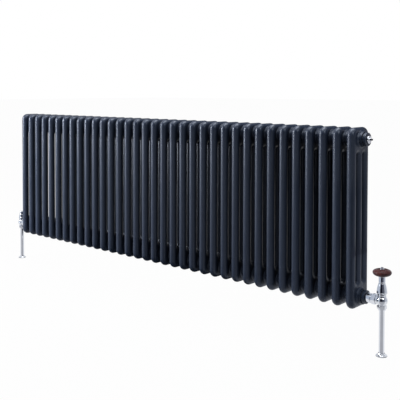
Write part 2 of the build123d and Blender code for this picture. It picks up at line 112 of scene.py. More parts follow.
def stretched(tree, value, low, high, to_low=0.0, to_high=1.0):
    """A value mapped so that low becomes to_low and high becomes to_high."""
    ends = {"Value": value, "From Min": low, "From Max": high, "To Min": to_low, "To Max": to_high}
    return shader_node(tree, "ShaderNodeMapRange", ends).outputs["Result"]


# %% [markdown]
# Several finishes need the same effect with other numbers, so each effect is a node group. The
# first is a fine speckle: powder coat has a skin like orange peel, polished metal has a faint haze
# where hands have been, and rubber is dull in patches. All three are noise, stretched between a low
# and a high value. A painted image could do it too, but noise needs no unwrapping.


# %% Node group: fine speckle
NOISE_LOW, NOISE_HIGH = 0.3, 0.7


def new_group(name, inputs, output):
    """An empty shader group. An input with no default is a vector, and any other is a number."""
    tree = bpy.data.node_groups.new(name, "ShaderNodeTree")
    for label, default in inputs.items():
        kind = "NodeSocketVector" if default is None else "NodeSocketFloat"
        socket = tree.interface.new_socket(label, in_out="INPUT", socket_type=kind)
        if default is not None:
            socket.default_value = default
    tree.interface.new_socket(output, in_out="OUTPUT", socket_type="NodeSocketFloat")
    print("group", name)
    return tree, tree.nodes.new("NodeGroupInput").outputs, tree.nodes.new("NodeGroupOutput").inputs


def use_group(tree, group, **values):
    """Place a group with its own values, and give what it puts out."""
    inputs = {label.title(): value for label, value in values.items()}
    return shader_node(tree, "ShaderNodeGroup", inputs, node_tree=group).outputs[0]


sockets = {"Vector": None, "Scale": 100.0, "Low": 0.0, "High": 1.0}
speckle_group, given, result = new_group("fine_speckle", sockets, "Value")
inputs = {"Vector": given["Vector"], "Scale": given["Scale"], "Detail": 3.0}
noise = shader_node(speckle_group, "ShaderNodeTexNoise", inputs).outputs["Fac"]
value = stretched(speckle_group, noise, NOISE_LOW, NOISE_HIGH, given["Low"], given["High"])
speckle_group.links.new(value, result["Value"])


def speckle(tree, place, scale, low=0.0, high=1.0):
    """The speckle group, with its own values."""
    return use_group(tree, speckle_group, vector=place, scale=scale, low=low, high=high)


# %% [markdown]
# The second effect is edge wear. Paint lies thinner on a sharp edge and polish bites there first, so
# edges look a little lighter. Cycles measures how pointed each spot of the mesh is, and a steep ramp
# turns that into a mask of the edges alone, which the speckle breaks up.

# %% Node group: worn edges
sockets = {"Vector": None, "Start": 0.52, "Full": 0.60}
edge_wear_group, given, result = new_group("worn_edges", sockets, "Mask")
pointed = edge_wear_group.nodes.new("ShaderNodeNewGeometry").outputs["Pointiness"]
edge = stretched(edge_wear_group, pointed, given["Start"], given["Full"])
breakup = speckle(edge_wear_group, given["Vector"], scale=220.0, low=0.4)
masks = {0: edge, 1: breakup}
both = shader_node(edge_wear_group, "ShaderNodeMath", masks, operation="MULTIPLY")
edge_wear_group.links.new(both.outputs["Value"], result["Mask"])

# %% [markdown]
# The third effect is painted shade. Little light reaches the walls between close tubes, so their colour
# is darkened here as painted shade. Ambient Occlusion measures how closed in a spot is, so its mask is 1
# in the open and falls to 0 deep between the tubes.

# %% Node group: painted shade between tubes
CLOSENESS_SAMPLES = 6

sockets = {"Reach": 0.05, "Deep": 0.2, "Open": 0.8}
painted_shade_group, given, result = new_group("painted_shade_between_tubes", sockets, "Mask")
reach = {"Distance": given["Reach"]}
# Painted shade: this mask darkens colour where walls stand close, as if little light reached there.
closeness = shader_node(
    painted_shade_group, "ShaderNodeAmbientOcclusion", reach, samples=CLOSENESS_SAMPLES
).outputs["AO"]
mask = stretched(painted_shade_group, closeness, given["Deep"], given["Open"])
painted_shade_group.links.new(mask, result["Mask"])

# %% [markdown]
# Every finish starts in the same way: a Principled shader with its plain values, and the object's own
# coordinates. All pieces share one origin, so a pattern keeps its real scale and runs on from piece
# to piece. Each finish is kept under the name of the record's slot that it is for. Most then let
# their colour and roughness wander a little, and some have relief.

# %% Start a finish
finishes = {}


def start_finish(slot, name, **principled):
    """A material for a slot, its Principled shader with plain values set, and its coordinates."""
    material = finishes[slot] = bpy.data.materials.new(name)
    material.use_nodes = True
    tree = material.node_tree
    shader = tree.nodes["Principled BSDF"]
    for socket, value in principled.items():
        shader.inputs[socket.replace("_", " ")].default_value = value
    print("finish", name)
    return tree, shader, tree.nodes.new("ShaderNodeTexCoord").outputs["Object"]


def link_looks(tree, shader, colour, rough):
    """Give a finish its colour and its roughness."""
    tree.links.new(colour, shader.inputs["Base Color"])
    tree.links.new(rough, shader.inputs["Roughness"])


def wander(tree, shader, place, tone_scale, tones, rough_scale, rough):
    """Let the colour and the roughness each wander between two values."""
    tint = mixed_colour(tree, speckle(tree, place, tone_scale), *tones)
    link_looks(tree, shader, tint, speckle(tree, place, rough_scale, *rough))


def add_relief(tree, shader, height, depth):
    """Bump from a height from 0 to 1, as deep as depth in metres."""
    relief = {"Height": height, "Strength": 1.0, "Distance": depth}
    bump = shader_node(tree, "ShaderNodeBump", relief)
    tree.links.new(bump.outputs["Normal"], shader.inputs["Normal"])


# %% [markdown]
# ## The paint
# The body is powder coated in anthracite, a very dark blue-grey with a satin skin. Powder melts into soft
# waves about two millimetres across, the orange peel. We give the bump that scale, let the tone drift
# over a hand's width and the roughness over a few centimetres, lighten the edges, where the powder pulls
# thin, and paint shade onto the walls between the tubes, where little light reaches.

# %% Anthracite powder coat
PAINT_BODY = (0.0170, 0.0238, 0.0415)
PAINT_LIGHT = (0.0198, 0.0272, 0.0468)
PAINT_EDGE = (0.028, 0.036, 0.056)
# The darkest tone below is painted shade for the walls between the tubes.
PAINT_SHADE_BETWEEN_TUBES = (0.0030, 0.0042, 0.0070)
paint_sheen = {"Specular_IOR_Level": 0.42, "Specular_Tint": (0.86, 0.9, 1.0, 1.0)}

tree, shader, place = start_finish("anthracite_paint", "anthracite_powder_coat", **paint_sheen)
tone = mixed_colour(tree, speckle(tree, place, scale=9.0), PAINT_BODY, PAINT_LIGHT)
edges = use_group(tree, edge_wear_group, vector=place, start=0.53, full=0.62)
outer = mixed_colour(tree, edges, tone, PAINT_EDGE)
# Painted shade: the walls between close tubes are darkened towards the darkest tone by the Ambient
# Occlusion mask.
outside_painted_shade = use_group(tree, painted_shade_group, reach=0.06, deep=0.25, open=0.62)
colour = mixed_colour(tree, outside_painted_shade, PAINT_SHADE_BETWEEN_TUBES, outer)
link_looks(tree, shader, colour, speckle(tree, place, scale=35.0, low=0.31, high=0.39))
add_relief(tree, shader, speckle(tree, place, scale=520.0), depth=0.00003)

# %% [markdown]
# ## Chrome
# Chrome is a mirror with a little blue in it. A perfect mirror looks drawn, so the polish gets a
# faint haze: the roughness wanders between two low values.

# %% Chrome
CHROME_TONES = ((0.80, 0.81, 0.83), (0.86, 0.87, 0.88))

tree, shader, place = start_finish("chrome", "polished_chrome", Metallic=1.0)
wander(tree, shader, place, 60.0, CHROME_TONES, 140.0, rough=(0.05, 0.11))

# %% [markdown]
# ## Brass
# The bonnets and spindles under the covers are turned brass. A lathe leaves fine rings round the
# axis. All of these pieces stand upright, so bands stacked along Z are rings round each of them.

# %% Turned brass
BRASS_TONES = ((0.62, 0.44, 0.19), (0.72, 0.54, 0.26))

tree, shader, place = start_finish("brass", "turned_brass", Metallic=1.0)
wander(tree, shader, place, 90.0, BRASS_TONES, 160.0, rough=(0.18, 0.30))
waves = {"Vector": place, "Scale": 900.0, "Distortion": 0.6, "Detail": 2.0}
rings = shader_node(tree, "ShaderNodeTexWave", waves, wave_type="BANDS", bands_direction="Z")
add_relief(tree, shader, rings.outputs["Fac"], depth=0.00002)

# %% [markdown]
# ## The wooden wheel
# The handwheel is turned from a dark, reddish wood and thinly varnished, so its gloss is soft. Its
# grain runs straight across, so the noise is squeezed in two directions and left long in the third.
# Varnish is a clear layer over the wood: the Principled shader has a coat for that.

# %% Varnished wood
WOOD_DARK = (0.030, 0.010, 0.009)
WOOD_RED = (0.120, 0.036, 0.032)
GRAIN_SQUEEZE = (22.0, 340.0, 340.0)
GRAIN_LOW, GRAIN_HIGH = 0.35, 0.68
varnish = {"Coat_Weight": 0.14, "Coat_Roughness": 0.14, "Specular_IOR_Level": 0.2}

tree, shader, place = start_finish("dark_wood", "varnished_wood", **varnish)
squeezed = shader_node(tree, "ShaderNodeMapping", {"Vector": place, "Scale": GRAIN_SQUEEZE})
fibres = {"Vector": squeezed.outputs["Vector"], "Scale": 1.0, "Detail": 6.0, "Roughness": 0.6}
grain = shader_node(tree, "ShaderNodeTexNoise", fibres)
streaks = stretched(tree, grain.outputs["Fac"], GRAIN_LOW, GRAIN_HIGH)
colour = mixed_colour(tree, streaks, WOOD_DARK, WOOD_RED)
link_looks(tree, shader, colour, speckle(tree, place, scale=300.0, low=0.3, high=0.42))
add_relief(tree, shader, streaks, depth=0.00002)

# %% [markdown]
# ## Rubber and dark steel
# The gaskets are plain black rubber, dull with a fine grain. The air vent's screw is blackened
# steel: darker than chrome, rougher, and brighter on its corners.

# %% Rubber
RUBBER_TONES = ((0.018, 0.018, 0.019), (0.035, 0.035, 0.037))

tree, shader, place = start_finish("rubber", "black_rubber")
wander(tree, shader, place, 260.0, RUBBER_TONES, 400.0, rough=(0.7, 0.9))
add_relief(tree, shader, speckle(tree, place, scale=1500.0), depth=0.00003)

# %% Dark steel
STEEL_BODY = (0.05, 0.05, 0.055)
STEEL_EDGE = (0.2, 0.2, 0.21)

tree, shader, place = start_finish("dark_steel", "blackened_steel", Metallic=1.0)
edges = use_group(tree, edge_wear_group, vector=place, start=0.53, full=0.62)
colour = mixed_colour(tree, edges, STEEL_BODY, STEEL_EDGE)
link_looks(tree, shader, colour, speckle(tree, place, scale=500.0, low=0.28, high=0.45))
add_relief(tree, shader, speckle(tree, place, scale=1800.0), depth=0.00001)

# %% [markdown]
# The record names a slot for each CAD node. The finish of that name goes on it, and the new pieces
# below take theirs from the same list.

# %% Give each node its finish
for row in record["subparts"]:
    nodes[row["node"]].material_slots[0].material = finishes[row["material_slot"]]
print("finishes", sorted(finishes))

# %% [markdown]
# ## Turned pieces
# Nearly everything on the valves was made on a lathe. The CAD nodes have the right outline, but a
# mirror finish shows every flat of a coarse mesh, and the beads, grooves and rounded edges that catch
# the light are missing. A lathe is easy to copy: draw half a section as points of radius and height,
# round its corners, and turn it about the axis in fine steps. Each new piece then replaces its node.

# %% Helpers for profiles
MM = 0.001
TURN_STEPS = 96
EDGE_STEPS = 4
DOME_STEPS = 14


def rounded(corners, radius):
    """A line of points with each inner corner rounded off. Corners are (radius, height)."""
    points = [Vector(corners[0])]
    for before, corner, after in zip(corners, corners[1:], corners[2:]):
        corner = Vector(corner)
        back = Vector(before) - corner
        on = Vector(after) - corner
        reach = min(radius, back.length / 2, on.length / 2)
        start = corner + back.normalized() * reach
        end = corner + on.normalized() * reach
        for step in range(EDGE_STEPS + 1):
            t = step / EDGE_STEPS
            points.append(start.lerp(corner, t).lerp(corner.lerp(end, t), t))
    points.append(Vector(corners[-1]))
    return points


def arc(centre, radii, start, end, steps):
    """Points of an ellipse about a centre, from one angle to another, in degrees."""
    points = []
    for step in range(steps + 1):
        angle = math.radians(start + (end - start) * step / steps)
        across = centre[0] + radii[0] * math.cos(angle)
        points.append((across, centre[1] + radii[1] * math.sin(angle)))
    return points


def domed(radius, low, high):
    """A dome from just inside its rim to its tip."""
    return arc((0, low), (radius, high - low), 0, 90, DOME_STEPS)[1:-1] + [(0, high)]


def stepped(radius, level, *steps):
    """Points given as steps outwards and upwards, in millimetres, from a radius and a level."""
    return [(radius + out * MM, level + up * MM) for out, up in steps]


print("turned in", TURN_STEPS, "steps")

# %% [markdown]
# The same turning makes the hexagon nuts. A nut is a turned blank with six flats milled on it, so
# each point keeps to the profile unless a flat lies closer to the axis. Where a chamfered corner
# meets a flat, this gives the curved edge that every real nut has.


# %% Helpers for turning and milling
SHARP_ANGLE = math.radians(32)
SIXTH = math.pi / 3
WELD_DISTANCE = 1e-7
ON_AXIS = 1e-9


def add_object(name, data):
    """A new object in the scene."""
    made = bpy.data.objects.new(name, data)
    bpy.context.scene.collection.objects.link(made)
    return made


def corner_reach(width):
    """How far a hexagon's corners reach, from its width across flats."""
    return width / 2 / math.cos(SIXTH / 2)


def ring_of(builder, radius, height, place, width=None, turned_by=0.0):
    """One ring of vertices, cut to a hexagon where a width across flats is given."""
    if radius < ON_AXIS:
        return [builder.verts.new(place @ Vector((0, 0, height)))]
    ring = []
    for i in range(TURN_STEPS):
        angle = 2 * math.pi * i / TURN_STEPS
        reach = radius
        if width:
            from_flat = (angle - turned_by + SIXTH / 2) % SIXTH - SIXTH / 2
            reach = min(radius, width / 2 / math.cos(from_flat))
        spot = Vector((reach * math.cos(angle), reach * math.sin(angle), height))
        ring.append(builder.verts.new(place @ spot))
    return ring


def join_rings(builder, rings):
    """Faces between each ring of vertices and the next. A ring of one vertex is a point."""
    for low, high in zip(rings, rings[1:]):
        steps = max(len(low), len(high))
        for i in range(steps):
            j = (i + 1) % steps
            corners = [low[i % len(low)], low[j % len(low)], high[j % len(high)], high[i % len(high)]]
            unique = list(dict.fromkeys(corners))
            if len(unique) > 2:
                builder.faces.new(unique)


def add_turned(builder, profile, place, width=None, turned_by=0.0):
    """Turn a profile about the local Z axis of a place, with flats if a width is given."""
    join_rings(builder, [ring_of(builder, r, h, place, width, turned_by) for r, h in profile])


def finish_piece(name, builder, slot, body, node=None):
    """Turn a bmesh into a shaded object with its finish and body, in place of a node if it has one."""
    bmesh.ops.remove_doubles(builder, verts=builder.verts, dist=WELD_DISTANCE)
    bmesh.ops.recalc_face_normals(builder, faces=builder.faces)
    for face in builder.faces:
        face.smooth = True
    for edge in builder.edges:
        edge.smooth = len(edge.link_faces) < 2 or edge.calc_face_angle() < SHARP_ANGLE
    mesh = bpy.data.meshes.new(name)
    builder.to_mesh(mesh)
    builder.free()
    mesh.materials.append(finishes[slot])
    piece = add_object(name, mesh)
    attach(piece, body)
    if node:
        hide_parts(node)
    print(name, "faces", len(mesh.polygons))


def make_turned(name, profile, places, node, slot="chrome", body="radiator", width=None, turned_by=0.0):
    """One object of the same turned form at each place, which replaces a node."""
    builder = bmesh.new()
    for place in places:
        add_turned(builder, profile, place, width, turned_by)
    finish_piece(name, builder, slot, body, node)


# %% [markdown]
# Each valve stands on its own upright axis, and each end of the radiator has two ports that face
# outwards. We read the valves' places from the nodes, so none is typed twice. Heights along an
# upright axis are plain Z, and along a port's axis they are the distance from the middle.

# %% Axes of the valves and the ports
PORT_SPACING = 435 * MM
wheel_middle = sum(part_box("handwheel"), Vector()) / 2
cap_middle = sum(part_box("lockshield_cap"), Vector()) / 2
wheel_axis = Matrix.Translation((wheel_middle.x, wheel_middle.y, 0.0))
cap_axis = Matrix.Translation((cap_middle.x, cap_middle.y, 0.0))
both_axes = [wheel_axis, cap_axis]
lower_axis = -PORT_SPACING


def outwards(side, height):
    """A frame whose Z points out of the radiator's end, on side 1 (right) or -1 (left)."""
    columns = (Vector((0, 1, 0)), Vector((0, 0, side)), Vector((side, 0, 0)))
    return Matrix.Translation((0, 0, height)) @ Matrix(columns).transposed().to_4x4()


right_port, left_port = outwards(1, 0.0), outwards(-1, 0.0)
lower_ports = [outwards(1, lower_axis), outwards(-1, lower_axis)]
all_ports = [right_port, left_port, *lower_ports]


def upright(node):
    """Lower height, upper height and largest radius of a node on an upright axis."""
    low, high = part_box(node)
    return low.z, high.z, (high.y - low.y) / 2


print("valves at x", round(wheel_middle.x, 4), round(cap_middle.x, 4))

# %% [markdown]
# ## The handwheel
# The wheel is a flattened bun of wood. Its widest line lies above the middle, its underside pulls in
# to a small seat, and a shallow cove circles the finial. Two quarter ellipses and an arc draw the
# whole section, and a fine lip on the cove's outer edge catches the light as turned wood does.

# %% Handwheel
WHEEL_RIM_SHARE = 10 / 18
WHEEL_SEAT = 10.5 * MM
COVE_OUTER = 14 * MM
COVE_INNER = 8 * MM
COVE_DEPTH = 1.8 * MM
LIP = 0.35 * MM

wheel_low, wheel_high, wheel_radius = upright("handwheel")
rim_level = wheel_low + (wheel_high - wheel_low) * WHEEL_RIM_SHARE
under = arc((WHEEL_SEAT, rim_level), (wheel_radius - WHEEL_SEAT, rim_level - wheel_low), -90, 0, steps=20)
over = arc((COVE_OUTER, rim_level), (wheel_radius - COVE_OUTER, wheel_high - rim_level), 0, 90, steps=20)
lip = [(COVE_OUTER - LIP, wheel_high - LIP / 3), (COVE_OUTER - 2 * LIP, wheel_high - LIP)]
cove_middle = (COVE_OUTER + COVE_INNER) / 2
cove_radii = (cove_middle - COVE_INNER - LIP, COVE_DEPTH - LIP)
cove = arc((cove_middle, wheel_high - LIP), cove_radii, 0, -180, steps=14)
wheel_profile = [(0, wheel_low)] + under + over[1:] + lip + cove[1:]
wheel_profile += [(COVE_INNER, wheel_high), (0, wheel_high)]
make_turned("handwheel_bun", wheel_profile, [wheel_axis], "handwheel", "dark_wood", "wheel_head")

# %% [markdown]
# ## The wheel's metalwork
# A finial nut holds the wheel down. It is a small dome on a rim with a chamfered edge. Below the
# wheel, a plain collar hides the spindle, and its two turned grooves keep it from looking like a
# length of pipe.

# %% Finial and collar
FINIAL_RIM = 1.8 * MM
FINIAL_EDGE = 0.35 * MM
COLLAR_FOOT = 1.6 * MM
COLLAR_GROOVE = 0.5 * MM
COLLAR_BAND = 2.4 * MM

finial_low, finial_high, finial_radius = upright("wheel_finial")
rim_top = finial_low + FINIAL_RIM
dome_radius = finial_radius - 2 * FINIAL_EDGE
finial_rim = [(0, finial_low), (finial_radius, finial_low)]
finial_rim += [(finial_radius, rim_top - FINIAL_EDGE), (dome_radius, rim_top)]
finial_profile = rounded(finial_rim, radius=0.4 * MM) + domed(dome_radius, rim_top, finial_high)
make_turned("finial_nut", finial_profile, [wheel_axis], "wheel_finial", body="wheel_head")

collar_low, collar_high, collar_radius = upright("wheel_collar")


def grooved(level):
    """Corners of a small groove round the collar."""
    low, high = level - COLLAR_GROOVE, level + COLLAR_GROOVE
    return [(collar_radius, low), (collar_radius - COLLAR_GROOVE, level), (collar_radius, high)]


collar_corners = [(0, collar_low), (collar_radius - COLLAR_GROOVE, collar_low)]
collar_corners += [(collar_radius, collar_low + COLLAR_FOOT)]
collar_corners += grooved(collar_low + COLLAR_BAND + COLLAR_GROOVE) + grooved(collar_high - COLLAR_BAND)
collar_corners += [(collar_radius, collar_high), (0, collar_high)]
collar_profile = rounded(collar_corners, radius=0.35 * MM)
make_turned("spindle_collar", collar_profile, [wheel_axis], "wheel_collar", body="wheel_head")

# %% [markdown]
# ## The bell cover
# The bell is spun from thin sheet. Its foot is rolled over into a bead, its side swells gently, and
# a small step finishes the top. The swell is a circular arc in the CAD, so we use the same sagitta
# here, and the long highlight on it stays as smooth.

# %% Bell cover
BELL_TOP_RADIUS = 9.3 * MM
BELL_SWELL = 1.2 * MM
BELL_BEAD = 0.9 * MM
BELL_INSET = 0.35 * BELL_BEAD
BELL_STEP = 0.6 * MM
BELL_LEVELS = 24

bell_low, bell_high, bell_radius = upright("bell_cover")
bell_start = bell_low + 3 * BELL_BEAD
bell_end = bell_high - 3 * BELL_STEP
bell_profile = [(bell_radius - 4 * BELL_BEAD, bell_low)]
bead_middle = (bell_radius - BELL_BEAD, bell_low + BELL_BEAD)
bell_profile += arc(bead_middle, (BELL_BEAD, BELL_BEAD), -90, 75, steps=10)
for step in range(BELL_LEVELS + 1):
    level = bell_start + (bell_end - bell_start) * step / BELL_LEVELS
    share = (level - bell_low) / (bell_high - bell_low)
    straight = bell_radius + (BELL_TOP_RADIUS - bell_radius) * share
    swell = 4 * BELL_SWELL * share * (1 - share)
    bell_profile.append((straight + swell - BELL_INSET, level))
shoulder = bell_profile[-1][0]
bell_top = [(shoulder, bell_end), (shoulder - BELL_STEP, bell_end + 0.2 * BELL_STEP)]
bell_top += [(BELL_TOP_RADIUS, bell_high - BELL_STEP), (BELL_TOP_RADIUS - BELL_STEP, bell_high)]
bell_profile += rounded(bell_top + [(0, bell_high)], radius=0.3 * MM)
make_turned("spun_bell", bell_profile, [wheel_axis], "bell_cover")

# %% [markdown]
# ## The lockshield's cap
# The left valve has no wheel, only a cap that keeps fingers off its spindle. It flares at the foot,
# runs up nearly straight and closes in a low dome. The cap lifts off, so it is open below: the
# profile runs up the outside and back down the inside.

# %% Lockshield cap
CAP_SHOULDER_RADIUS = 10.4 * MM
CAP_FLARE = 14 * MM
CAP_TOP_RADIUS = 7.5 * MM
CAP_DOME_RADIUS = 7.8 * MM
CAP_DOME = 3.6 * MM
CAP_WALL = 1.2 * MM
CAP_BEAD = 0.7 * MM

cap_low, cap_high, cap_radius = upright("lockshield_cap")
cap_shoulder = cap_low + CAP_FLARE
dome_low = cap_high - CAP_DOME
cap_outside = rounded(
    [
        (cap_radius - CAP_WALL, cap_low),
        (cap_radius, cap_low),
        (cap_radius, cap_low + 2 * CAP_BEAD),
        (cap_radius - CAP_BEAD, cap_low + 2.6 * CAP_BEAD),
        (CAP_SHOULDER_RADIUS, cap_shoulder - CAP_BEAD),
        (CAP_SHOULDER_RADIUS + CAP_BEAD / 2, cap_shoulder),
        (CAP_SHOULDER_RADIUS - CAP_BEAD / 3, cap_shoulder + CAP_BEAD),
        (CAP_DOME_RADIUS, dome_low),
    ],
    radius=0.3 * MM,
)
cap_inside = [
    (0, cap_high - CAP_WALL),
    (CAP_TOP_RADIUS - CAP_WALL, dome_low),
    (CAP_SHOULDER_RADIUS - CAP_WALL, cap_shoulder),
    (cap_radius - CAP_WALL, cap_low),
]
cap_profile = cap_outside + domed(CAP_DOME_RADIUS, dome_low, cap_high) + cap_inside
make_turned("lockshield_shell", cap_profile, [cap_axis], "lockshield_cap", body="lock_cap")

# %% [markdown]
# ## The valve bodies
# Both valves have the same cast and turned body: a ball at the level of the port, a collar on top
# for the head work, a threaded inlet below, and a threaded outlet towards the radiator. The body is
# two turned forms that cross in the ball. On the collar, a fine groove marks where it was turned.

# %% Valve bodies
BALL_RADIUS = 15.2 * MM
NECK_RADIUS = 11.9 * MM
NECK_TOP = 19.5 * MM
NECK_BORE = 8 * MM
INLET_RADIUS = 10.6 * MM
INLET_END = 22.3 * MM
OUTLET_RADIUS = 11.6 * MM
OUTLET_FACE = 22.4 * MM
BLIND_DEPTH = 2 * MM


def where_ball_meets(radius):
    """Height above the ball's centre at which a post of a radius leaves it."""
    return math.sqrt(BALL_RADIUS**2 - radius**2)


neck_angle = math.degrees(math.asin(where_ball_meets(NECK_RADIUS) / BALL_RADIUS))
inlet_angle = math.degrees(math.asin(where_ball_meets(INLET_RADIUS) / BALL_RADIUS))
body_profile = [(0, lower_axis - INLET_END), (INLET_RADIUS, lower_axis - INLET_END)]
body_profile += arc((0, lower_axis), (BALL_RADIUS, BALL_RADIUS), -inlet_angle, neck_angle, steps=30)
neck_level = lower_axis + NECK_TOP
neck = [(NECK_RADIUS, lower_axis + where_ball_meets(NECK_RADIUS))]
neck += stepped(NECK_RADIUS, neck_level, (0, -6.2), (-0.5, -5.8), (-0.5, -5.0), (0, -4.6), (0, 0))
neck += [(NECK_BORE, neck_level), (NECK_BORE, neck_level - BLIND_DEPTH), (0, neck_level - BLIND_DEPTH)]
body_profile += rounded(neck, radius=0.3 * MM)


def make_valve_body(name, side, axis, node):
    """A turned body with its outlet towards the radiator."""
    builder = bmesh.new()
    add_turned(builder, body_profile, axis)
    reach = abs(axis.translation.x)
    outlet = [(0, reach), (OUTLET_RADIUS, reach)]
    outlet += [(OUTLET_RADIUS, reach - OUTLET_FACE), (0, reach - OUTLET_FACE)]
    add_turned(builder, outlet, outwards(side, lower_axis))
    finish_piece(name, builder, "chrome", "radiator", node)


make_valve_body("wheel_valve_casting", 1, wheel_axis, "wheel_valve_body")
make_valve_body("lockshield_casting", -1, cap_axis, "lockshield_body")

# %% [markdown]
# ## The nuts
# A union nut pulls each valve against its tail, and a compression nut grips each pipe. Both are
# milled from turned blanks, so both come from the same helper: the blank's profile has chamfered
# corners, and the flats cut into it. A union nut also has a round skirt that covers the tail.

# %% Union nuts
UNION_WIDTH = 26 * MM
UNION_HEX = 13 * MM
UNION_REACH = 43.7 * MM
UNION_BORE = 11.8 * MM
SKIRT_RADIUS = 13.2 * MM
SKIRT_GROOVE = 0.6 * MM
CHAMFER_STEPS = 5

nut_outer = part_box("union_nuts")[1].x
nut_shoulder = nut_outer - UNION_HEX
nut_inner = wheel_middle.x - UNION_REACH


def chamfered(width, low, high, chamfer):
    """The rim of a nut's blank between two heights, with a domed chamfer at both ends."""
    reach = corner_reach(width)
    drop = reach - width / 2 + 0.2 * MM
    shares = [step / CHAMFER_STEPS for step in range(CHAMFER_STEPS + 1)]
    rise = [(reach - drop * (1 - t) ** 2, low + chamfer * t) for t in shares]
    return rise + [(r, high - (level - low)) for r, level in reversed(rise)]


skirt = [(0, nut_inner), (SKIRT_RADIUS, nut_inner), (SKIRT_RADIUS, nut_shoulder - 3 * SKIRT_GROOVE)]
skirt += [(SKIRT_RADIUS - SKIRT_GROOVE, nut_shoulder - 2 * SKIRT_GROOVE)]
skirt += [(SKIRT_RADIUS - SKIRT_GROOVE, nut_shoulder)]
union_profile = rounded(skirt, radius=0.8 * MM)
union_profile += chamfered(UNION_WIDTH, nut_shoulder, nut_outer, chamfer=1.7 * MM)
union_profile += [(UNION_BORE, nut_outer), (UNION_BORE, nut_outer - BLIND_DEPTH)]
union_profile += [(0, nut_outer - BLIND_DEPTH)]
hexagon = {"width": UNION_WIDTH, "turned_by": SIXTH / 2}
make_turned("union_nut_pair", union_profile, lower_ports, "union_nuts", **hexagon)

# %% Compression nuts
PIPE_NUT_WIDTH = 23 * MM
PIPE_NUT_CONE = 5 * MM
PIPE_NUT_FOOT = 9.2 * MM
PIPE_NUT_BORE = 7.6 * MM
CLEARANCE = 0.1 * MM

pipe_nut_low, pipe_nut_high, _ = upright("compression_nuts")
cone_top = pipe_nut_low + PIPE_NUT_CONE
cone = [(PIPE_NUT_BORE, pipe_nut_low), (PIPE_NUT_FOOT, pipe_nut_low)]
cone += stepped(PIPE_NUT_WIDTH / 2, cone_top, (-0.3, -0.3))
pipe_nut_profile = rounded(cone, radius=0.7 * MM)
pipe_nut_profile += chamfered(PIPE_NUT_WIDTH, cone_top, pipe_nut_high, chamfer=1.4 * MM)
pipe_nut_profile += [(INLET_RADIUS + CLEARANCE, pipe_nut_high), (INLET_RADIUS + CLEARANCE, cone_top)]
hexagon = {"width": PIPE_NUT_WIDTH}
make_turned("compression_nut_pair", pipe_nut_profile, both_axes, "compression_nuts", **hexagon)

# %% [markdown]
# ## Pipes and floor flanges
# Each pipe drops straight to the floor, where a pressed cover flange hides the hole. The flange has
# a flat rim, a hollow curve and a short upright neck round the pipe. The pipe is open below, because
# it carries on under the floor.

# %% Pipes and flanges
PIPE_RADIUS = 7.5 * MM
PIPE_BORE = 6.8 * MM
FLANGE_RIM = 1.6 * MM
FLANGE_NECK = 9.6 * MM
FLANGE_LAND = 0.6 * MM
FLANGE_TOP = 1.0 * MM
FLANGE_ROUND = 0.8 * MM

_, pipe_high, _ = upright("floor_pipes")
floor_level = cad_box[0].z
pipe_profile = [(PIPE_BORE, pipe_high), (PIPE_RADIUS, pipe_high), (PIPE_RADIUS, floor_level)]
pipe_profile += [(PIPE_BORE, floor_level), (PIPE_BORE, pipe_high)]
make_turned("floor_pipe_pair", pipe_profile, both_axes, "floor_pipes")

flange_low, flange_high, flange_radius = upright("floor_flanges")
flange_bore = PIPE_RADIUS + CLEARANCE
hollow_middle = (flange_radius - FLANGE_LAND, flange_high - FLANGE_TOP)
hollow_radii = (hollow_middle[0] - FLANGE_NECK, hollow_middle[1] - flange_low - 2 * FLANGE_RIM)
rim_middle = (flange_radius - FLANGE_RIM, flange_low + FLANGE_RIM)
top_middle = (FLANGE_NECK - FLANGE_ROUND, flange_high - FLANGE_ROUND)
flange_profile = [(flange_bore, flange_low), (flange_radius, flange_low)]
flange_profile += arc(rim_middle, (FLANGE_RIM, FLANGE_RIM), 0, 90, steps=8)
flange_profile += arc(hollow_middle, hollow_radii, -90, -180, steps=12)
flange_profile += arc(top_middle, (FLANGE_ROUND, FLANGE_ROUND), 0, 90, steps=6)
flange_profile += [(flange_bore, flange_high), (flange_bore, flange_low)]
make_turned("floor_flange_pair", flange_profile, both_axes, "floor_flanges")

# %% [markdown]
# ## Bushes and plugs
# A reducing bush closes each end of the two hub rows, and is painted with the radiator. The upper
# right bush holds a chromed plug with the air vent in its middle, and the upper left one holds a
# blanking plug with a hexagon socket. The bush's face is turned, with one groove round the hole.

# %% Reducing bushes
GASKET = 1.5 * MM
BUSH_RADIUS = 18.8 * MM
BUSH_THREAD = 16.6 * MM
BUSH_EDGE = 1.2 * MM
BUSH_HOLE = 10.5 * MM

block_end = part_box("section_35")[1].x
bush_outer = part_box("reducing_bushes")[1].x
bush_corners = [(BUSH_THREAD, block_end + GASKET), (BUSH_RADIUS, block_end + GASKET)]
bush_corners += [(BUSH_RADIUS, bush_outer - 0.4 * BUSH_EDGE), (BUSH_RADIUS - BUSH_EDGE, bush_outer)]
bush_corners += stepped(BUSH_HOLE, bush_outer, (3.2, 0), (2.8, -0.5), (1.8, -0.5), (1.4, 0), (0, 0))
bush_corners += [(BUSH_HOLE, block_end), (BUSH_THREAD, block_end), (BUSH_THREAD, block_end + GASKET)]
bush_profile = rounded(bush_corners, radius=0.6 * MM)
make_turned("bush_set", bush_profile, all_ports, "reducing_bushes", "anthracite_paint")

# %% Plugs
PLUG_RADIUS = 11 * MM
PLUG_HEIGHT = 4.5 * MM
PLUG_SINK = 0.4 * MM
BOSS_RADIUS = 4.6 * MM
BOSS_HEIGHT = 3 * MM
VENT_HOLE = 2.5 * MM
SOCKET_WIDTH = 10 * MM
SOCKET_DEPTH = 6 * MM
DRILL_POINT = 1 * MM

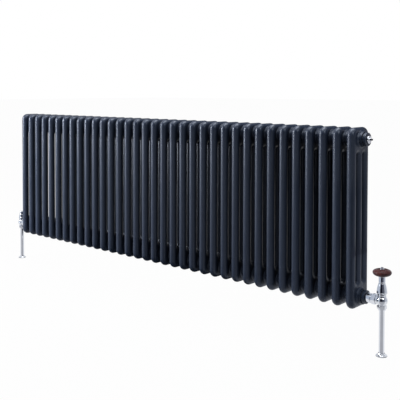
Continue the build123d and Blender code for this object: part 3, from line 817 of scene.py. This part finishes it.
plug_top = bush_outer + PLUG_HEIGHT
plug_face = plug_top - PLUG_SINK
plug_corners = stepped(PLUG_RADIUS, bush_outer, (-0.5, 0), (0, 0.5))
plug_corners += stepped(PLUG_RADIUS, plug_top, (0, -1.0), (-1.0, 0), (-3.0, 0))
plug_corners += stepped(PLUG_RADIUS, plug_top, (-3.4, -0.4), (-4.2, -0.4))
plug_rim = rounded(plug_corners, radius=0.4 * MM)
boss_top = plug_top + BOSS_HEIGHT
boss = [(BOSS_RADIUS, plug_face), (BOSS_RADIUS, boss_top), (VENT_HOLE, boss_top)]
boss += [(VENT_HOLE, boss_top - BLIND_DEPTH), (0, boss_top - BLIND_DEPTH)]
vent_profile = plug_rim + rounded(boss, radius=0.4 * MM)
make_turned("vent_plug_turned", vent_profile, [right_port], "vent_plug")

blank = bmesh.new()
socket_reach = corner_reach(SOCKET_WIDTH)
socket_floor = plug_top - SOCKET_DEPTH
add_turned(blank, plug_rim + [(socket_reach, plug_face)], left_port)
socket = [(socket_reach, plug_face), (socket_reach, socket_floor), (0, socket_floor - DRILL_POINT)]
add_turned(blank, socket, left_port, SOCKET_WIDTH)
finish_piece("blanking_plug_turned", blank, "chrome", "radiator", "blanking_plug")

# %% [markdown]
# The vent's screw has a square end for a key. A turned shank carries it, and the square is a stack of
# rings of eight vertices, two at each bevelled corner, which draw in towards the tip.

# %% Bleed screw
SQUARE_WIDTH = 5 * MM
SQUARE_BEVEL = 0.45 * MM
SHANK_RADIUS = 2.4 * MM

screw_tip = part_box("bleed_screw")[1].x
shank_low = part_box("bleed_screw")[0].x
shank_top = boss_top + 0.3 * MM
screw = bmesh.new()
shank = [(0, shank_low), (SHANK_RADIUS, shank_low), (SHANK_RADIUS, shank_top), (0, shank_top)]
add_turned(screw, shank, right_port)
square_rings = []
for level, share in (
    (shank_top, 0.86),
    (boss_top + 0.7 * MM, 1.0),
    (screw_tip - 1.4 * MM, 1.0),
    (screw_tip - 0.3 * MM, 0.78),
    (screw_tip, 0.62),
):
    half = SQUARE_WIDTH / 2 * share
    inner = half - SQUARE_BEVEL * share
    ring = []
    for quarter in range(4):
        turn = Matrix.Rotation(quarter * math.pi / 2, 3, "Z")
        for spot in (Vector((half, inner, level)), Vector((inner, half, level))):
            ring.append(screw.verts.new(right_port @ (turn @ spot)))
    square_rings.append(ring)
join_rings(screw, square_rings)
screw.faces.new(square_rings[0])
screw.faces.new(square_rings[-1])
finish_piece("bleed_screw_square", screw, "dark_steel", "vent_screw", "bleed_screw")

# %% [markdown]
# ## Weld seams
# A section is welded, not cast. Under the paint, a thin bead runs round each tube where it meets a
# head, and round each joint between two hubs. The bead stands a fifth of a millimetre proud and is
# never quite even, so its height wanders a little on the way round. At the very front and back it is
# dressed flush, which also keeps it inside the radiator's depth.

# %% Weld seams
COLUMN_SPACING = 33 * MM
TUBE_RADIUS = 12.5 * MM
TUBE_END = 45.5 * MM
HUB_RADIUS = 22 * MM
SEAM_PROUD = 0.2 * MM
SEAM_HALF = 0.9 * MM
SEAM_SECTION = ((-1.0, -0.4), (-0.55, 0.7), (0.0, 1.0), (0.55, 0.7), (1.0, -0.4))
SEAM_STEPS = 48
SLOW_WAVES, FAST_WAVES = 7, 19
SECTIONS = 35
section_boxes = [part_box(f"section_{number:02d}") for number in range(1, SECTIONS + 1)]


def add_seam(builder, radius, place, start):
    """A thin uneven bead round the local Z axis of a place."""
    rings = []
    for across, share in SEAM_SECTION:
        ring = []
        for i in range(SEAM_STEPS):
            angle = 2 * math.pi * i / SEAM_STEPS
            slow = math.sin(SLOW_WAVES * angle + start)
            fast = math.sin(FAST_WAVES * angle + 2 * start)
            reach = radius + SEAM_PROUD * share * (1 + 0.2 * slow + 0.12 * fast)
            spot = place @ Vector((reach * math.cos(angle), reach * math.sin(angle), across * SEAM_HALF))
            spot.y = max(cad_box[0].y, min(cad_box[1].y, spot.y))
            ring.append(builder.verts.new(spot))
        rings.append(ring)
    join_rings(builder, rings)


tube_seams = bmesh.new()
for number, (low, high) in enumerate(section_boxes):
    for column in (-1, 0, 1):
        for level in (-TUBE_END, lower_axis + TUBE_END):
            place = Matrix.Translation(((low.x + high.x) / 2, column * COLUMN_SPACING, level))
            add_seam(tube_seams, TUBE_RADIUS, place, number + 2 * column + 40 * level)
finish_piece("tube_weld_seams", tube_seams, "anthracite_paint", "radiator")

hub_seams = bmesh.new()
for number, (low, high) in enumerate(section_boxes[:-1]):
    for level in (0.0, lower_axis):
        place = Matrix.Translation((high.x, 0, 0)) @ outwards(1, level)
        add_seam(hub_seams, HUB_RADIUS, place, 1.7 * number + 30 * level)
finish_piece("hub_weld_seams", hub_seams, "anthracite_paint", "radiator")

# %% [markdown]
# ## The studio
# The radiator stands clear of a pale floor, against white. The floor stays a real floor, so it still
# catches a soft shadow, but the camera sees it mostly as plain white: Light Path tells the material
# which rays come from the camera, from a reflection or through glass.

# %% Floor
FLOOR_HALF = 40.0
FLOOR_SHADE = 0.02
MATT_GREY = (0.3, 0.3, 0.3, 1.0)
SEEN_WHITE = ("Is Camera Ray", "Is Glossy Ray", "Is Transmission Ray")
ONE_FACE = ((0, 1, 2, 3),)


def blank_tree(owner, output):
    """The emptied node tree of a material or a world, and the socket that takes its shader."""
    owner.use_nodes = True
    tree = owner.node_tree
    tree.nodes.clear()
    return tree, tree.nodes.new(output).inputs["Surface"]


def seen_directly(tree):
    """1 for the kinds of ray that should see plain white, and 0 for the rest."""
    rays = tree.nodes.new("ShaderNodeLightPath").outputs
    seen = rays[SEEN_WHITE[0]]
    for kind in SEEN_WHITE[1:]:
        either = {0: seen, 1: rays[kind]}
        seen = shader_node(tree, "ShaderNodeMath", either, operation="MAXIMUM").outputs[0]
    return seen


def make_studio_white(name, share):
    """White to the eye and in reflections, with a share of the real, shadowed surface kept."""
    material = bpy.data.materials.new(name)
    tree, surface = blank_tree(material, "ShaderNodeOutputMaterial")
    matt = shader_node(tree, "ShaderNodeBsdfDiffuse", {"Color": MATT_GREY})
    plain = shader_node(tree, "ShaderNodeEmission", {"Strength": 1.0})
    product = {0: seen_directly(tree), 1: 1.0 - share}
    amount = shader_node(tree, "ShaderNodeMath", product, operation="MULTIPLY")
    blend = {0: amount.outputs[0], 1: matt.outputs[0], 2: plain.outputs[0]}
    tree.links.new(shader_node(tree, "ShaderNodeMixShader", blend).outputs[0], surface)
    return material


def make_panel(name, corners, material, faces=ONE_FACE):
    """A plain piece of the studio, which is not part of the radiator."""
    mesh = bpy.data.meshes.new(name)
    mesh.from_pydata(corners, [], faces)
    mesh.materials.append(material)
    panel = add_object(name, mesh)
    panel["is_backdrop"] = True
    return panel


def flat_corners(x_low, x_high, y_low, y_high, level):
    """Corners of a panel that lies level."""
    spots = ((x_low, y_low), (x_high, y_low), (x_high, y_high), (x_low, y_high))
    return [(*spot, level) for spot in spots]


floor_corners = flat_corners(-FLOOR_HALF, FLOOR_HALF, -FLOOR_HALF, FLOOR_HALF, floor_level)
make_panel("studio_floor", floor_corners, make_studio_white("studio_floor_white", FLOOR_SHADE))
print("floor at", round(floor_level, 4))

# %% [markdown]
# The world is the backdrop. It looks white to the camera, in reflections and through glass, but it
# lights the radiator only weakly. The gaps between the tubes then stay dark, as they do in a real
# studio, and the lamps do the modelling.

# %% World
AMBIENT = 0.06
PLAIN_WHITE = (1, 1, 1, 1)

world = bpy.data.worlds.new("studio")
bpy.context.scene.world = world
tree, surface = blank_tree(world, "ShaderNodeOutputWorld")
white = shader_node(tree, "ShaderNodeBackground", {"Color": PLAIN_WHITE, "Strength": 1.0})
soft = shader_node(tree, "ShaderNodeBackground", {"Color": PLAIN_WHITE, "Strength": AMBIENT})
blend = {0: seen_directly(tree), 1: soft.outputs[0], 2: white.outputs[0]}
tree.links.new(shader_node(tree, "ShaderNodeMixShader", blend).outputs[0], surface)
print("ambient", AMBIENT)

# %% [markdown]
# ## Cards
# Chrome shows nothing but its surroundings, and in an all-white room it nearly vanishes. The dark
# paint has the opposite trouble: white reflections wash it out to a milky grey. So a product
# photographer stands cards around the work, and ours are seen by reflections alone. They light no
# matt surface and throw no shadow, and the camera doesn't see them. They are marked as stage, since
# they belong to the studio. The far ones make a dark room of it.

# %% Far cards
DUSK = (0.020, 0.027, 0.040)
TWILIGHT = (0.04, 0.048, 0.065)
CARD_TOP = 3.0
CARD_LIFT = 0.001
cards = []


def make_card(name, corners, tone, faces=ONE_FACE):
    """A card that only reflections see."""
    material = bpy.data.materials.new(name)
    tree, surface = blank_tree(material, "ShaderNodeOutputMaterial")
    glow = shader_node(tree, "ShaderNodeEmission", {"Color": (*tone, 1.0), "Strength": 1.0})
    tree.links.new(glow.outputs[0], surface)
    card = make_panel(name, corners, material, faces)
    for kind in ("camera", "diffuse", "transmission", "volume_scatter", "shadow"):
        setattr(card, f"visible_{kind}", False)
    cards.append(card)


def upright_corners(near, far, low, high):
    """Corners of a standing card between two spots on the floor plan."""
    return [(*near, low), (*far, low), (*far, high), (*near, high)]


far_spots = [(-4.4, -2.1), (-3.2, -3.4), (2.6, -3.4), (4.2, -0.6), (3.6, 3.0), (-4.6, 3.2)]
far_tones = {"left_front": DUSK, "front": DUSK, "right_front": DUSK, "right": TWILIGHT, "back": TWILIGHT}
for (name, tone), near, far in zip(far_tones.items(), far_spots, far_spots[1:]):
    make_card(f"{name}_card", upright_corners(near, far, floor_level, CARD_TOP), tone)
make_card("floor_card", flat_corners(-1.6, 1.3, -1.8, 0.5, floor_level + CARD_LIFT), DUSK)
print("far cards", len(cards))

# %% [markdown]
# Each valve also gets a horseshoe of cards of its own, bent round it at thirty centimetres and cut
# back where the radiator is. A black one on the camera's side gives each round piece its dark core.
# Grey ones beside it make the soft steps towards the edges, and low pale ones with a mat on the floor
# keep the pipe light. Straight cards would cut inside the circle and show their bends in the nuts.

# %% Near cards
NEAR_RADIUS = 0.3
CURVE_STEPS = 6
CLEAR_ANGLE = 36
SHORTEST_ARC = 5
CORE_LOW, CORE_HIGH = -0.505, -0.19
PALE = (0.80, 0.82, 0.87)
GREY = (0.42, 0.43, 0.47)
near_plan = [
    ("far_left", -175, -100, (0.62, 0.68, 0.78)),
    ("left", -100, -42, (0.45, 0.51, 0.62)),
    ("core", -42, 8, (0.010, 0.011, 0.018)),
    ("half", 8, 55, (0.10, 0.11, 0.145)),
    ("right", 55, 115, (0.45, 0.48, 0.55)),
    ("far_right", 115, 175, (0.75, 0.78, 0.84)),
    ("low_left", -175, -60, PALE),
    ("low_middle", -60, 60, GREY),
    ("low_right", 60, 175, (0.80, 0.82, 0.86)),
]


def clear_arcs(start, end, body):
    """What is left of an arc when it keeps clear of the radiator, which lies at the angle body."""
    arcs = [(start, min(end, body - CLEAR_ANGLE)), (max(start, body + CLEAR_ANGLE), end)]
    return [(low, high) for low, high in arcs if high - low > SHORTEST_ARC]


def around(axis_x, reach, angle):
    """The spot on the floor plan at a reach and an angle from a valve's axis."""
    return (axis_x + reach * math.cos(angle), reach * math.sin(angle))


def make_curved_card(name, axis_x, angles, low, high, tone):
    """A standing card bent round a valve."""
    corners = []
    for angle in angles:
        spot = around(axis_x, NEAR_RADIUS, angle)
        corners += [(*spot, low), (*spot, high)]
    faces = [(n, n + 2, n + 3, n + 1) for n in range(0, len(corners) - 2, 2)]
    make_card(name, corners, tone, faces)


def stand_near_cards(side, axis_x, line):
    """The horseshoe round one valve. Angles run from the line towards the camera."""
    body = -180 - math.degrees(line) if axis_x > 0 else -math.degrees(line)
    for name, start, end, tone in near_plan:
        low, high = (floor_level, CORE_LOW) if name.startswith("low_") else (CORE_LOW, CORE_HIGH)
        for number, (first, last) in enumerate(clear_arcs(start, end, body)):
            step = (last - first) / CURVE_STEPS
            angles = [line + math.radians(first + n * step) for n in range(CURVE_STEPS + 1)]
            make_curved_card(f"{side}_{name}_card_{number}", axis_x, angles, low, high, tone)


# %% [markdown]
# On the floor, a pale mat lies under each valve with a grey wedge on it that points to the camera.
# Three small cards finish the set: one in the slip of space between the bell and the radiator's end,
# a lid above the wheel, and one behind the vent plug.

# %% Mats and small cards
MAT_HALF = 0.45
MAT_LIFT, WEDGE_LIFT = 0.002, 0.003
WEDGE_ANGLES = (-60, 0, 60)
CAMERA_SPOT = (1.74, -1.75)
SLIP_X, SLIP_HALF = 0.805, 0.05
SLIP_LOW, SLIP_HIGH = -0.414, -0.33
LID_GAP, LID_HALF = 0.03, 0.07
PLUG_NEAR, PLUG_FAR = (0.86, 0.38), (1.25, 0.2)
PLUG_LOW, PLUG_HIGH = -0.15, 0.2


def lay_mats(side, axis_x, line):
    """The pale mat and the grey wedge on the floor under one valve."""
    mat_ends = (axis_x - MAT_HALF, axis_x + MAT_HALF)
    mat = flat_corners(*mat_ends, -MAT_HALF, MAT_HALF, floor_level + MAT_LIFT)
    make_card(f"{side}_pale_mat", mat, PALE)
    wedge_level = floor_level + WEDGE_LIFT
    spots = [around(axis_x, MAT_HALF, line + math.radians(angle)) for angle in WEDGE_ANGLES]
    wedge = [(axis_x, 0.0, wedge_level)] + [(*spot, wedge_level) for spot in spots]
    make_card(f"{side}_grey_mat", wedge, GREY)


valve_x = round(wheel_middle.x, 3)
for side, axis_x in (("wheel_valve", valve_x), ("lockshield", -valve_x)):
    line = math.atan2(CAMERA_SPOT[1], CAMERA_SPOT[0] - axis_x)
    stand_near_cards(side, axis_x, line)
    lay_mats(side, axis_x, line)
slip = upright_corners((SLIP_X, -SLIP_HALF), (SLIP_X, SLIP_HALF), SLIP_LOW, SLIP_HIGH)
make_card("slip_card", slip, (0.50, 0.55, 0.65))
lid_ends = (valve_x - LID_HALF, valve_x + LID_HALF)
lid = flat_corners(*lid_ends, -LID_HALF, LID_HALF, wheel_high + LID_GAP)
make_card("lid_card", lid, (0.21, 0.20, 0.24))
plug_view = upright_corners(PLUG_NEAR, PLUG_FAR, PLUG_LOW, PLUG_HIGH)
make_card("plug_card", plug_view, (0.52, 0.52, 0.58))
print("cards in all", len(cards))

# %% [markdown]
# ## Light
# A tall soft lamp stands in front of the left end and gives each tube its pale line near the left
# edge. One overhead keeps the heads readable, and a weak one on the right opens the dark side.


# %% Lamps
def soft_lamp(name, place, target, size, power, colour):
    """A rectangular area lamp, with its -Z axis turned to a point."""
    data = bpy.data.lights.new(name, "AREA")
    data.color = colour
    data.shape = "RECTANGLE"
    data.size, data.size_y = size
    data.energy = power
    lamp = add_object(name, data)
    lamp.location = place
    direction = Vector(target) - lamp.location
    lamp.rotation_euler = direction.to_track_quat("-Z", "Y").to_euler()
    print(name, power, "watts")


left_end = (-0.8, 0.0, -0.1)
middle = (0.0, 0.0, -0.25)
right_end = (0.8, 0.0, -0.1)
soft_lamp("key_lamp", (-1.5, -1.45, 0.4), left_end, (0.35, 1.2), 74.0, (0.90, 0.94, 1.0))
soft_lamp("fill_lamp", (1.7, -0.45, 0.75), right_end, (0.6, 0.6), 6.0, (0.86, 0.93, 1.0))
soft_lamp("top_lamp", (0.3, -0.1, 2.4), middle, (2.6, 1.6), 102.0, (0.9, 0.95, 1.0))

# %% [markdown]
# ## Camera
# The camera stands off the right end, about ten centimetres above the radiator's top, and looks
# almost level, so the tubes stay upright. Tilting it down would make them lean together. Instead the
# lens is shifted, as an architect's view camera does.

# %% Camera
CAMERA_PLACE = (1.7333, -1.7439, 0.1383)
YAW, PITCH, ROLL = -0.7273, 0.0301, 0.0009
LENS = 63.46
SHIFT_Y = -0.225

across = Vector((math.cos(YAW), -math.sin(YAW), 0.0))
forward = Vector((math.sin(YAW) * math.cos(PITCH), math.cos(YAW) * math.cos(PITCH), -math.sin(PITCH)))
above = across.cross(forward)
right = across * math.cos(ROLL) + above * math.sin(ROLL)
up = above * math.cos(ROLL) - across * math.sin(ROLL)
camera_data = bpy.data.cameras.new("view_camera")
camera_data.lens = LENS
camera_data.shift_y = SHIFT_Y
camera = add_object("view_camera", camera_data)
turn = Matrix((right, up, -forward)).transposed().to_4x4()
camera.matrix_world = Matrix.Translation(CAMERA_PLACE) @ turn
bpy.context.scene.camera = camera
bpy.context.scene.view_settings.view_transform = "Standard"
print("camera at", CAMERA_PLACE)

# %% [markdown]
# ## Measure and finish
# We write down the box that we started from and the box that we have now, which shows whether any
# piece made the radiator larger.

# %% Measure and finish
visual_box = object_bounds()
growth = (visual_box[1] - visual_box[0]) - (cad_box[1] - cad_box[0])
print("grown by", [round(value, 5) for value in growth])
